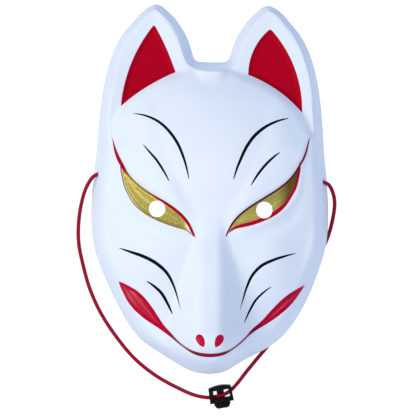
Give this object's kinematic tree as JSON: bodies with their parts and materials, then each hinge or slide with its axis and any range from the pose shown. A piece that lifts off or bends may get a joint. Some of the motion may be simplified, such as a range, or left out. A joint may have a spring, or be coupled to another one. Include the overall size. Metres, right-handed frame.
{
  "type": "fox mask",
  "caption": "Full-face fox mask: a thin white moulded shell with ears, long snout and painted eyes, on an elastic head cord with a spring cord lock.",
  "frame": {"origin": "centre of the mask's bounding box at the plane its rim rests on", "axes": "+Y from the chin to the ears, +Z out of the face, +X to the right of someone looking at the face with its ears up"},
  "size_m": [0.1756, 0.2731, 0.0835],
  "materials": {
    "painted_shell": "satin white paint on a thin moulded shell, with red, gold and black painted marks",
    "elastic_red": "round braided elastic, dark red",
    "lock_black": "black moulded plastic, semi-gloss"
  },
  "bodies": {
    "mask": {"mask_shell": "painted_shell", "elastic_cord": "elastic_red", "cord_lock_housing": "lock_black"},
    "lock_button": {"cord_lock_plunger": "lock_black"}
  },
  "joints": [
    {"name": "plunger_press", "type": "slide", "parent": "mask", "child": "lock_button", "axis": [-0.1857, 0.9826, 0], "range_m": [0, 0.0019], "stiffness_N_per_m": 300, "springref_m": -0.003}
  ]
}
